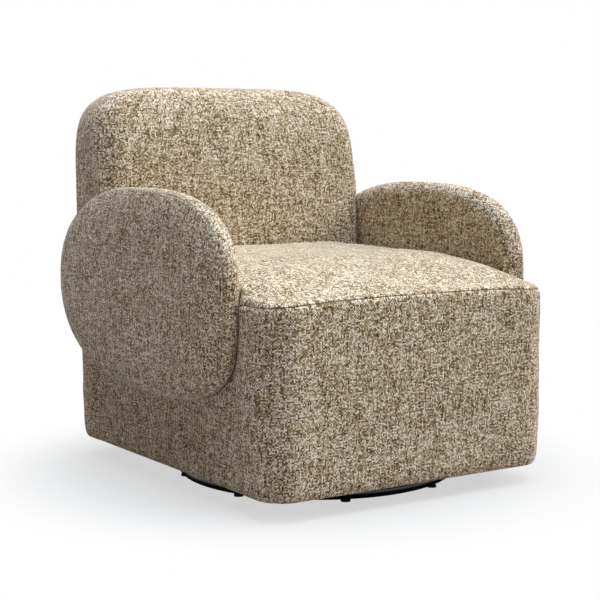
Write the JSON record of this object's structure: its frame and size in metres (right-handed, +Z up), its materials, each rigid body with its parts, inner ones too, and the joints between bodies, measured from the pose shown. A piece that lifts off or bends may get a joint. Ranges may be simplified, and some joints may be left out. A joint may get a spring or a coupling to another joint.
{
  "type": "upholstered swivel rocking chair",
  "caption": "Fully upholstered armchair with a rounded back and oval arms that swivels and rocks on springs over a round floor ring.",
  "frame": {"origin": "on the floor, under the middle of the chair's overall width and depth", "axes": "+Z up, the front of the seat faces -Y, +X to the sitter's left"},
  "size_m": [0.802, 0.886, 0.848],
  "materials": {
    "cloth": "nubby woven beige cloth",
    "foam": "soft foam",
    "wood": "plain planed wood",
    "black_steel": "gloss black paint",
    "zinc": "zinc plated",
    "rubber": "matte black rubber",
    "brass": "plain brass",
    "webbing": "woven webbing and felt",
    "dust_cloth": "thin black cloth"
  },
  "bodies": {
    "base": {"floor_ring": "black_steel", "ring_glides": "rubber", "base_spider": "black_steel", "king_pin": "zinc", "king_nut": "zinc", "lower_race": "zinc", "bearing_balls": "zinc", "ball_cage": "brass"},
    "swivel": {"upper_race": "zinc", "rocker_bracket": "black_steel", "rock_shaft": "zinc", "shaft_clips": "zinc", "spring_cups_lower": "black_steel", "stop_bumpers": "rubber", "rocker_springs": "zinc"},
    "chair": {"rocker_plate": "black_steel", "rocker_bushes": "brass", "spring_cups_upper": "black_steel", "plate_screws": "zinc", "bearers": "wood", "side_board_left": "wood", "side_board_right": "wood", "front_board": "wood", "rear_board": "wood", "corner_blocks": "wood", "back_post_left": "wood", "back_post_right": "wood", "back_top_rail": "wood", "back_mid_rail": "wood", "back_webbing": "webbing", "arm_board_left": "wood", "arm_board_right": "wood", "arm_bolts": "zinc", "seat_springs": "zinc", "spring_clips": "zinc", "seat_deck": "webbing", "dust_cover": "dust_cloth", "seat_foam": "foam", "back_foam": "foam", "front_pad": "foam", "corner_pad_left": "foam", "corner_pad_right": "foam", "side_pad_left": "foam", "side_pad_right": "foam", "rear_pad": "foam", "arm_foam_left": "foam", "arm_foam_right": "foam", "seat_cover": "cloth", "front_cover": "cloth", "side_cover_left": "cloth", "side_cover_right": "cloth", "rear_cover": "cloth", "back_inside_cover": "cloth", "back_outside_cover": "cloth", "arm_panel_left": "cloth", "arm_panel_right": "cloth", "arm_wrap_left": "cloth", "arm_wrap_right": "cloth"}
  },
  "joints": [
    {"name": "swivel", "type": "hinge", "parent": "base", "child": "swivel", "pos_m": [0, -0.075, 0.0415], "axis": [0, 0, 1], "continuous": true},
    {"name": "rock", "type": "hinge", "parent": "swivel", "child": "chair", "pos_m": [0, -0.075, 0.11], "axis": [1, 0, 0], "range_deg": [-4.5, 5], "stiffness_Nm_per_rad": 1600, "springref_deg": 3.27, "deforming": ["rocker_springs"]}
  ]
}
